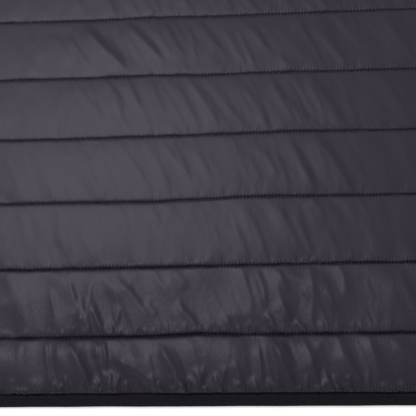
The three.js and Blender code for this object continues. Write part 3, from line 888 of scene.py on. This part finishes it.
def back_columns():
    """Shares of the half width, finest over the middle."""
    fine = np.arange(0, FINE_REACH, STITCH / 2.5)
    outer = np.arange(fine[-1] + 0.7 * STITCH, 262, STITCH)
    edge = np.array([264.5, 266.5, 268.0, 269.0, 269.6, 270.0])
    half = np.concatenate([fine[1:], outer, edge])
    half = np.delete(half, len(fine) + 2 * np.arange(len(half) % (SKIP // 2)))
    return np.concatenate([-half[::-1], [0.0], half]) / UNDERARM[0]


def channel_rows(tall, count):
    """Offsets from a channel's lower seam, closest together at both seams."""
    share = np.linspace(0, 1, count + 1)[:-1]
    eased = 0.5 - 0.5 * np.cos(math.pi * share)
    return tall * (0.35 * share + 0.65 * eased)


def back_rows():
    hem = HEM_BAND - 0.05
    rows = [hem + channel_rows(SEAMS[1] - hem, 32)]
    rows += [low + channel_rows(CHANNEL, 32 if low < FINE_TOP else 10) for low in SEAMS[1:-3]]
    rows = np.concatenate([*rows, np.arange(YOKE, NECK[1], 2.4)])
    rows = rows[rows < NECK[1] - 1]
    last = np.linspace(rows[-1], NECK[1], -len(rows) % SKIP + 2)[1:]
    return np.concatenate([rows, last])


def body_layout(shares, rows, drop, power, inner=0.0):
    """Layout points of a panel: columns follow the sides, top rows the shoulders."""
    nominal = np.repeat(rows[:, None], len(shares), axis=1)
    x = inner + shares[None, :] * (half_width(nominal) - inner)
    lift = (top_edge(x, drop, power) - YOKE) / (NECK[1] - YOKE)
    y = np.where(nominal > YOKE, YOKE + (nominal - YOKE) * lift, nominal)
    return x, y


def painted_seam_shade(x, y):
    """Painted shade, as how dark a point is painted: 1 in the stitching, less in the gathers and by
    the hem.
    """
    off = y[..., None] - SEAMS
    # painted shadow along the stitched groove
    line = (0.85 + 0.5 * noise(x / 2.6, 0.0, 93)) * bell(seam_distance(y), 0.8)
    # painted shade in the gathers just above each seam
    above = np.where(off > 0, off, 1e3).min(axis=-1)
    ragged = 3.2 + 1.8 * noise(x / 6, 0.0, 91)
    # painted shade that darkens the cloth towards the hem
    hem = 0.5 * smooth((HEM_BAND + 34 - y) / 34) * (1 + 0.5 * noise(x / 24, y / 12, 94))
    return np.clip(line + 0.12 * np.exp(-above / ragged) + hem, 0, 1)


def seam_gather(x, y):
    """How strongly the stitching gathers the cloth: most just above each seam."""
    off = y[..., None] - SEAMS
    above = np.where(off > -0.4, off, 1e3).min(axis=-1).clip(0)
    below = np.where(off < 0, -off, 1e3).min(axis=-1)
    reach = np.where(y < HEM_BAND + 20, 5.0, 2.3) * (1 + 0.7 * noise(x / 5, 0.0, 92))
    strength = 0.45 + 0.55 * smooth((190 - y) / 60)
    return strength * np.clip(bell(above, reach) + 0.4 * np.exp(-below / 1.5), 0, 1)


def add_layers(piece, x, y, crumple, side=1, start=0):
    """Stores what the material reads on the panel's face whose points begin at start."""
    # painted_shade is painted shade for the base colour; gather shapes the fold bumps and the
    # painted shade between them; crumple scales the crumple bumps
    layers = {"painted_shade": painted_seam_shade(x, y), "gather": seam_gather(x, y), "crumple": crumple}
    for name, values in layers.items():
        padded = np.zeros(len(piece.data.vertices))
        padded[start:start + x.size] = values[:, ::side].ravel()
        layer = piece.data.attributes.new(name, "FLOAT", "POINT")
        layer.data.foreach_set("value", padded)


def make_back(material):
    x, y = body_layout(back_columns(), back_rows(), *BACK_NECK)
    top = back_cloth(x, y)
    bottom = np.dstack([top[..., :2], back_under(x, y)])
    back = panel("back_cloth", top, bottom, SKIP, material)
    add_layers(back, x, y, 0.35 + 0.65 * smooth((150 - y) / 80))
    sew(back, "back", "quilted_nylon", BACK_FLAT, ["front_left", "front_right"])


def seam_stitches(material):
    """The thread of the quilting lines, from one side seam or armhole to the other."""
    centres, directions = [], []
    for seam in SEAMS[1:-1]:
        reach = np.interp(seam, [SHOULDER[1], NECK[1]], [half_width(seam), NECK[0]]) - 4
        x = np.arange(-math.floor(reach / STITCH) * STITCH, reach, STITCH) + STITCH / 2
        y = np.full(x.shape, seam)
        points = back_form(x, y)
        directions.append((back_form(x + 1.0, y) - points)[:, :2])
        centres.append(points + (0, 0, THREAD_RISE))
    stitches("quilting_thread", np.vstack(centres), np.vstack(directions), material)


# ---- fronts ----
FRONT_EDGE = 5.0  # half the groove over the zip
RABBET, RABBET_REACH = 2.6, 15.5  # room for the zip tape
FRONT_STITCH = 6.5  # from the front edge to its row of stitches
FRONT_STITCH_RISE, FRONT_STITCH_ENDS = 0.4, (HEM_BAND + 4, 597.1)


def front_rows():
    rows = np.concatenate([low + channel_rows(high - low, 14)
                           for low, high in zip(SEAMS, SEAMS[1:])])
    rows = rows[(rows > HEM_BAND + 2) & (rows < NECK[1] - 4)]
    return np.concatenate([HEM_BAND + SEAM_GAP + np.array([0, 0.6]), rows,
                           NECK[1] - np.array([2, 1, 0])])


def front_relief(x, y):
    """How far the outer face of a front, pressed on the table, stands up from it."""
    edge = np.minimum(edge_distance(x, y), x - FRONT_EDGE)
    stitched = bell(x - FRONT_EDGE - FRONT_STITCH, 0.9)
    _, across = channel_place(y)
    off = seam_distance(y)
    seam = 0.9 * (1 - np.sin(math.pi * across) ** 0.35) + 0.5 * bell(off, 0.9)
    creases = np.zeros_like(x)
    add_creases(creases, 250 - x, y, SCATTERED)
    drape = (0.25 + 0.35 * noise(x / 34, y / 52, 101)).clip(0) * smooth(edge / 14 - 0.3)
    inside = (0.45 * creases.clip(0) + drape) * smooth(off / 4)
    quilted = meet(x, y)[1] * smooth((x - FRONT_EDGE - FRONT_STITCH - 1) / 4)
    return 0.9 * (1 - rounding(edge, EDGE_RADIUS)) + 0.3 * stitched + quilted * (seam + inside)


def make_front(side, material, thread):
    name = sided("front", side)
    # Two columns lie close together where the rabbet for the zip tape ends.
    shares = np.concatenate([np.linspace(0, 0.0398, 5), np.linspace(0.0402, 0.97, 60),
                             np.linspace(0.976, 1, 6)])
    x, y = body_layout(shares, front_rows(), *FRONT_NECK, FRONT_EDGE)
    top = np.where(x < RABBET_REACH, RABBET, meet(x, y)[0] - SEAM_GAP / 2)
    upper = mirrored(side, np.dstack([x, y, top]))
    lower = mirrored(side, np.dstack([x, y, front_relief(x, y)]))
    piece = panel(name + "_cloth", upper, lower, 1, material)
    add_layers(piece, x, y, np.full(x.shape, 0.4), side, start=x.size)
    dress(piece, name, "quilted_nylon", lower, ["back"])
    sewn = side * (FRONT_EDGE + FRONT_STITCH)
    row = np.array([(sewn, end, FRONT_STITCH_RISE) for end in FRONT_STITCH_ENDS])
    topstitch(name + "_thread", [row], -1, thread)


# ---- bindings of the hem ----
HEM_SECTION = [
    # y, share of the thickness
    (10.3, 0.0), (7.0, 0.0), (3.0, 0.0), (1.2, 0.0), (0.35, 0.16), (0.0, 0.5),
    (0.3, 0.82), (1.1, 1.0), (2.4, 1.06), (3.9, 1.0), (5.4, 1.07), (6.8, 1.0),
    (7.6, 0.93), (8.1, 0.8), (8.6, 0.93), (9.3, 1.05), (9.9, 0.98), (10.3, 0.72),
]
HEM_STITCH_ROW = 8.1


def hem_stitches(material):
    x = np.arange(-HALF_HEM + 4, HALF_HEM - 4, STITCH)
    z = back_under(x, 0.0) + 0.8 * BINDING
    topstitch("hem_thread", [np.stack([x, np.full_like(x, HEM_STITCH_ROW), z], -1)], 1, material)


def make_hem_band(edge, x0, x1, seed, material):
    """The binding folded over the hem of the back, or of the front on one side."""
    x = np.linspace(x0, x1, round((x1 - x0) / 1.6) + 1)
    z = back_under(x, 0.0) if edge == "back" else np.zeros_like(x)
    ragged = 0.35 * np.abs(noise(x / 60, 0.0, seed + 2))
    sections = []
    for y, share in HEM_SECTION:
        wave = 0.16 * noise(x / 7, 0.31 * y, seed) + 0.12 * noise(x / 26, 0.1 * y, seed + 1)
        lift = BINDING * share + (wave if share > 0.6 else 0)
        sections.append(np.stack([x, y + ragged * (1 - y / HEM_BAND), z + lift], -1))
    name = "hem_band_" + edge
    piece = bar(name + "_cloth", np.stack(sections, 1), material)
    sew(piece, name, "binding", ((x1 - x0) * MM, (HEM_BAND + BINDING) * MM),
        ["back" if edge == "back" else "front_" + edge], held="folded")


# ---- sleeves ----
SLEEVE_WALL, SLEEVE_INSET = 1.6, 3.0
SLEEVE_MIDDLE, SLEEVE_HALF = 2.1, 2.15  # level of the edges, and rise above it
SLEEVE_ROWS, UPPER_COLUMNS, LOWER_COLUMNS = 201, 85, 17
CUFF_OUTER, CUFF_INNER = (713.0, 210.0), (634.0, 133.0)
OUTER_EDGE = (SHOULDER, (SHOULDER[0] + 80, SHOULDER[1] - 28), (388, 592), CUFF_OUTER)
INNER_EDGE = (UNDERARM, (UNDERARM[0] + 75, UNDERARM[1] - 22),
              (CUFF_INNER[0] - 110, CUFF_INNER[1] + 110), CUFF_INNER)
CUFF_DIRECTION = np.array([CUFF_OUTER[1] - CUFF_INNER[1], CUFF_INNER[0] - CUFF_OUTER[0]])
CUFF_DIRECTION = CUFF_DIRECTION / np.hypot(*CUFF_DIRECTION)
CAP_FADE = 0.4  # share of the sleeve over which its head evens out
SLEEVE_TUCK = 0.3  # how far the sleeve's head goes over the armhole
# Folds across a sleeve: place along it, rise at the outer and at the inner edge, half
# its width as a share of the length, and slant.
SLEEVE_FOLDS = [
    # at, outer, inner, half, slant
    (0.07, 0.1, 1.6, 0.016, 0.10),
    (0.12, 0.3, 2.6, 0.020, 0.16),
    (0.18, 0.4, 2.0, 0.017, 0.20),
    (0.25, 1.5, 0.2, 0.018, -0.12),
    (0.31, 2.0, 0.5, 0.022, -0.08),
    (0.37, 0.3, 1.8, 0.015, 0.12),
    (0.42, 0.5, 2.6, 0.016, 0.14),
    (0.46, 0.3, 2.8, 0.014, 0.02),
    (0.50, 0.9, 2.6, 0.013, -0.08),
    (0.55, 1.8, 2.0, 0.016, -0.12),
    (0.61, 2.2, 0.8, 0.018, -0.05),
    (0.68, 0.6, 1.8, 0.016, 0.12),
    (0.74, 1.8, 0.5, 0.017, -0.10),
    (0.81, 0.7, 2.0, 0.018, 0.08),
    (0.87, 1.8, 0.8, 0.014, -0.06),
    (0.92, 0.8, 1.8, 0.012, 0.05),
    (0.96, 1.4, 1.0, 0.010, -0.02),
]
# Rings of a cuff: place along the sleeve, where the cuff goes from 1 to 2, and the share
# by which its section is thinner there.
CUFF_RINGS = np.array([
    (1 + 1e-6, 0.35), (1.03, 0.15), (1.10, 0), (1.2, 0), (1.32, 0), (1.45, 0), (1.58, 0),
    (1.7, 0), (1.78, 0.2), (1.83, 0.35), (1.88, 0.15), (1.93, 0.1), (1.97, 0.45), (2.0, 1.0),
])
CUFF_RIB = 3.4  # pitch of its ribs


def cap_offsets():
    """How far the sleeve's head stands off a straight line, less its tuck."""
    ahead = np.vstack([ARMHOLE[1:], ARMHOLE[-1:]]) - np.vstack([ARMHOLE[:1], ARMHOLE[:-1]])
    ahead /= np.hypot(ahead[:, :1], ahead[:, 1:])
    share = np.linspace(0, 1, len(ARMHOLE))[:, None]
    straight = np.array(UNDERARM) + share * (np.array(SHOULDER) - UNDERARM)
    return ARMHOLE - straight - SLEEVE_TUCK * np.stack([ahead[:, 1], -ahead[:, 0]], -1)


CAP = cap_offsets()


def sleeve_plan(along, share, inset=0.0):
    """Layout points of the right sleeve: along 0 at the armhole and 1 at the cuff."""
    reach = np.minimum(along, 1)
    outer, inner = bezier(*OUTER_EDGE, reach), bezier(*INNER_EDGE, reach)
    width = np.hypot(*np.moveaxis(outer - inner, -1, 0))
    kept = np.clip(share, inset / width, 1 - inset / width)[..., None]
    steps = np.linspace(0, 1, len(CAP))
    cap = np.stack([np.interp(share, steps, part) for part in CAP.T], -1)
    past = np.where(along > 1, (along - 1) * HEM_BAND + SEAM_GAP, 0)[..., None]
    fade = smooth(1 - along / CAP_FADE)[..., None]
    return inner + kept * (outer - inner) + fade * cap + past * CUFF_DIRECTION, width


def sleeve_folds(along, share, seed):
    """Rises of the folds, each steeper towards the cuff."""
    lift = np.zeros_like(along)
    for at, outer, inner, half, slant in SLEEVE_FOLDS:
        sway = 0.02 * noise(share * 2.2, at * 9, seed)
        off = along - at - slant * (share - 0.5) - sway
        slope = np.clip(1 - np.abs(off) / np.where(off > 0, 0.7 * half, 1.7 * half), 0, 1)
        rise = inner + (outer - inner) * share + 0.5 * noise(share * 4, at * 7, seed)
        lift = np.maximum(lift, rise.clip(0) * slope ** 1.3)
    return lift


def tube_heights(share, width, extra=0.0):
    """Upper and lower heights of a flattened tube, rounded along its two edges."""
    round_off = rounding(np.minimum(share, 1 - share) * width, 5.0)
    high = SLEEVE_MIDDLE + extra / 2 + np.maximum(0.35, (SLEEVE_HALF + extra / 2) * round_off)
    low = SLEEVE_MIDDLE - np.maximum(0.35, SLEEVE_MIDDLE * round_off)
    return high, low


def hollow(along, share, height, at_edge):
    """Half of a tube's inner surface, which closes to at_edge along its two edges."""
    plan, _ = sleeve_plan(along, share, SLEEVE_INSET)
    return np.dstack([plan, np.where(np.sin(math.pi * share) < 0.1, at_edge, height)])


def ring_round(upper, lower):
    """Closed rings from the two halves of a tube, both given from inner to outer edge."""
    return np.concatenate([upper, lower[:, ::-1]], axis=1)


def sleeve_cloth(along, share, seed):
    """The upper half of a sleeve: its taut form, and its cloth settled into folds."""
    plan, width = sleeve_plan(along, share)
    full = np.sin(math.pi * share) ** 0.6 * smooth(along / 0.05) * smooth((1 - along) / 0.04)
    folds = sleeve_folds(along, share, seed + 3) * full
    taut = np.dstack([plan, tube_heights(share, width)[0] + full + 0.7 * folds])
    rough = (0.35 * noise(along * 34 + 2 * share, share * 5, seed)
             + 0.25 * noise(along * 80, share * 9 + along * 12, seed + 1))
    start = taut.copy()
    start[..., 2] += 0.4 * folds + rough * full
    elbow = bell(along - 0.5, 0.16) * (1.2 - 0.8 * share)
    ends = np.exp(-along / 0.14) * (1.1 - share) + 0.8 * np.exp(-(1 - along) / 0.08)
    patch = smooth(0.5 + noise(along * 9, share * 3, seed + 2))
    spare = (0.004 + 0.030 * elbow + 0.022 * ends) * (0.6 + 0.8 * patch)
    ahead = np.gradient(plan, axis=0)
    ahead /= np.hypot(ahead[..., :1], ahead[..., 1:])
    pinned = (along * (1 - along) < 0.006) | (np.minimum(share, 1 - share) * width < 4)
    cloth = settle(taut, start, pinned, [(spare, ahead)], reach=2.6, stiffness=0.02)
    cloth[..., 2] = np.maximum(cloth[..., 2], taut[..., 2] - 0.9 * full)
    return taut, cloth


def add_tube(name, outer, inner, face, side, slot, material):
    """One sleeve or cuff; face is its outer surface before it creases."""
    piece = tube(name + "_cloth", mirrored(side, outer), mirrored(side, inner), material)
    dress(piece, name, slot, np.concatenate([face, face[:, :1]], axis=1), [])


def make_sleeve(side, seed, material, thread):
    name = sided("sleeve", side)
    lengthwise = np.linspace(0, 1, SLEEVE_ROWS)
    turn = math.pi * (0.15 + 0.7 * np.linspace(0, 1, UPPER_COLUMNS))
    spread = 0.5 - 0.5 * np.cos(turn) / math.cos(math.pi * 0.15)
    along, share = np.meshgrid(lengthwise, spread, indexing="ij")
    taut, cloth = sleeve_cloth(along, share, seed)
    low_share, low_along = np.meshgrid(np.linspace(0, 1, LOWER_COLUMNS), lengthwise)
    plan, width = sleeve_plan(low_along, low_share)
    lower = np.dstack([plan, tube_heights(low_share, width)[1]])
    few = slice(None, None, 5)
    at_edge = SLEEVE_MIDDLE + 0.25
    roof = np.maximum(cloth[few, :, 2] - SLEEVE_WALL, at_edge)
    inner = ring_round(hollow(along[few], share[few], roof, at_edge),
                       hollow(low_along[few], low_share[few], SLEEVE_WALL, SLEEVE_MIDDLE - 0.2))
    add_tube(name, ring_round(cloth, lower), inner, ring_round(taut, lower), side,
             "softshell", material)
    flat = np.minimum(spread, 1 - spread) * width[1, 0] > 4
    topstitch(name + "_thread", [row[flat] * (side, 1, 1) for row in (cloth[1], cloth[-3])],
              1, thread)


def make_cuff(side, seed, material):
    along, share = np.meshgrid(CUFF_RINGS[:, 0], np.linspace(0, 1, 45), indexing="ij")
    plan, width = sleeve_plan(along, share)
    high, low = tube_heights(share, width, 0.5)
    thinner = CUFF_RINGS[:, 1:]
    ribs = 0.16 * np.cos(2 * math.pi * share * width / CUFF_RIB)
    ribs += 0.2 * noise(share * 18, along, seed)
    high = high - 0.55 * thinner + ribs * np.sin(math.pi * share) ** 0.3
    outer = ring_round(np.dstack([plan, high]), np.dstack([plan, low + 0.45 * thinner]))
    inner = ring_round(hollow(along, share, 2.9, SLEEVE_MIDDLE + 0.45),
                       hollow(along, share, 1.75, SLEEVE_MIDDLE + 0.05))
    add_tube(sided("cuff", side), outer, inner, outer, side, "binding", material)


# ---- collar ----
COLLAR_BACK, COLLAR_FRONT = 60.0, 58.0  # height at the middle
COLLAR_SIDE = TOTAL_LENGTH - NECK[1] - SEAM_GAP
COLLAR_HALF = 86.0  # from the middle to where it turns round
COLLAR_LEAN, COLLAR_WALL = 0.08, 2.0
COLLAR_STITCH_ROWS = (0.075, 0.91)
COLLAR_ROWS = [0.0, 0.02, 0.05, 0.075, 0.1, 0.14, 0.2, 0.28, 0.36, 0.44, 0.52, 0.6, 0.68,
               0.76, 0.83, 0.88, 0.91, 0.935, 0.96, 0.985, 1.0]
COLLAR_FLAT = (0.38, 0.062)  # cut size in metres


def collar_outline():
    """Stations from the front edge round to the middle of the back.

    For each the outer x and z, the inner x and z, and a weight that is 0 on the front
    layer and 1 on the back one.
    """
    lower = np.linspace(FRONT_EDGE, COLLAR_HALF, 30)
    upper = np.linspace(COLLAR_HALF, 0, 56)
    turn = np.linspace(-math.pi / 2, math.pi / 2, 13)[1:-1]
    inside = np.maximum(back_under(upper, neckline(upper, *BACK_NECK)), 3.1)
    crown = inside[0] + COLLAR_WALL
    return np.stack([np.concatenate(parts) for parts in (
        (lower, COLLAR_HALF + 6 * np.cos(turn), upper),
        (0 * lower, crown / 2 * (1 + np.sin(turn)), inside + COLLAR_WALL),
        (lower, COLLAR_HALF + 2 * np.cos(turn), upper),
        (0 * lower + RABBET, 2.85 + 0.2 * np.sin(turn), inside),
        (0 * lower, 0.5 * (1 + np.sin(turn)), 1 + 0 * upper))])


def collar_points(x, z, weight, row):
    """One row of the collar: row is 0 at the seam and 1 at the top."""
    foot = (weight * neckline(x, *BACK_NECK) + (1 - weight) * neckline(x, *FRONT_NECK)
            + SEAM_GAP)
    middle = weight * COLLAR_BACK + (1 - weight) * COLLAR_FRONT
    height = middle + (COLLAR_SIDE - middle) * np.minimum(np.abs(x) / NECK[0], 1) ** 2
    return np.stack([x * (1 - COLLAR_LEAN * row), foot + height * row, z], -1)


def make_collar(material, thread):
    half = collar_outline()
    left = half[:, -2::-1] * np.array([-1, 1, -1, 1, 1])[:, None]
    ox, oz, ix, iz, weight = np.concatenate([half, left], axis=1)
    station = np.cumsum(np.hypot(np.diff(ox, prepend=ox[0]), np.diff(oz, prepend=oz[0])))
    outer, inner, sewn = [], [], []
    for row in COLLAR_ROWS:
        stitched = sum(bell(row - seam, 0.018) for seam in COLLAR_STITCH_ROWS)
        rumple = (0.55 * noise(station / 17 + 0.8 * row, row * 2.2, 121)
                  + 0.3 * noise(station / 7, row * 3.1, 122))
        lift = (0.9 + rumple) * math.sin(math.pi * row) ** 0.5 - 0.4 * stitched
        lift = lift - 0.7 * (row > 0.99) - 0.25 * (row > 0.98)
        high = np.maximum(oz + lift * smooth(2 * weight - 1), 0.0)
        outer.append(collar_points(ox, high, weight, row))
        inner.append(collar_points(ix, iz + 0.6 * (row > 0.99) * weight, weight, row))
        if row in COLLAR_STITCH_ROWS:
            sewn.append(outer[-1][(weight == 1) & (np.abs(ox) < COLLAR_HALF - 2)])
    piece = bar("collar_cloth", np.stack(outer + inner[::-3], 1), material)
    sew(piece, "collar", "softshell", COLLAR_FLAT, ["back", "front_left", "front_right"])
    topstitch("collar_thread", sewn, 1, thread)


# ---- front zip ----
TAPE_IN, TAPE_OUT, TAPE_LOW, TAPE_HIGH = 2.2, 14.0, 2.9, 3.5
TAPE_SECTION = [
    # x, share of the thickness
    (TAPE_IN, 1.0), (5.0, 1.0), (5.4, 0.92), (9.0, 0.94), (13.6, 1.0), (TAPE_OUT, 0.3),
    (13.6, 0.0), (9.0, 0.06), (5.4, 0.08), (5.0, 0.0), (TAPE_IN, 0.0),
]
CHAIN_HALF, CHAIN_LOW, CHAIN_HIGH = 1.9, 2.3, 4.1
ZIP_END, TOOTH = 672.0, 1.5  # length, and pitch of the teeth on one side
TOOTH_SECTION = [
    # x, share of half the pitch, share of half the height
    (CHAIN_HALF, 0.33, 0.75), (CHAIN_HALF - 0.25, 0.42, 1.0), (0.6, 0.40, 1.0),
    (0.0, 0.30, 0.85), (-0.55, 0.34, 0.8), (-0.75, 0.2, 0.5),
]


def make_zip_tape(side, material):
    name = sided("zip_tape", side)
    y = np.linspace(1, ZIP_END, 260)
    sections = [np.stack(np.broadcast_arrays(x, y, TAPE_LOW + share * (TAPE_HIGH - TAPE_LOW)), -1)
                for x, share in TAPE_SECTION]
    piece = bar(name + "_cloth", mirrored(side, np.stack(sections, 1)), material)
    sew(piece, name, "zip_tape", ((TAPE_OUT - TAPE_IN) * MM, ZIP_END * MM),
        [sided("front", side)])


def make_zip_teeth(material):
    """Moulded teeth that reach past the middle from both sides in turn."""
    points, faces = [], []
    middle, half = (CHAIN_LOW + CHAIN_HIGH) / 2, (CHAIN_HIGH - CHAIN_LOW) / 2
    for k in range(int((ZIP_END - 3) / (TOOTH / 2)) - 2):
        side = 1 if k % 2 else -1
        y = 2.0 + k * TOOTH / 2
        faces += [face[::side] for face in rod_faces(len(TOOTH_SECTION), 4, len(points))]
        for x, wide, tall in TOOTH_SECTION:
            for dy, dz in ((-1, -1), (1, -1), (1, 1), (-1, 1)):
                points.append((side * x, y + wide * TOOTH / 2 * dy, middle + half * tall * dz))
    piece = add_object("zip_teeth", points, faces, material, smooth_shaded=False)
    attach(piece, BODY)
    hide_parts("zip_chain")


# ---- run ----
add_camera()
add_lights()
add_floor(floor_material())
nylon = nylon_material()
softshell = softshell_material()
binding = binding_material("binding", 0)
thread = thread_material()
tape = binding_material("zip_tape", 90)
cuff_turn = math.degrees(math.atan2(*CUFF_DIRECTION[::-1])) + 90
plastic = hard_material("zip_teeth", (0.008, 0.008, 0.009), 0.35, 0.0)
metal = hard_material("zip_metal", (0.055, 0.055, 0.06), 0.32, 1.0)
make_back(nylon)
seam_stitches(thread)
for side in (1, -1):
    make_front(side, nylon, thread)
    make_sleeve(side, 130 + side, softshell, thread)
    make_cuff(side, 140 + side, binding_material("cuff_binding", side * cuff_turn))
    make_zip_tape(side, tape)
make_hem_band("back", -HALF_HEM, HALF_HEM, 151, binding)
hem_stitches(thread)
make_hem_band("right", FRONT_EDGE, HALF_HEM, 161, binding)
make_hem_band("left", -HALF_HEM, -FRONT_EDGE, 171, binding)
make_collar(softshell, thread)
make_zip_teeth(plastic)
for name in ("zip_slider", "zip_pull"):
    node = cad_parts[name]
    node.data.materials.clear()
    node.data.materials.append(metal)
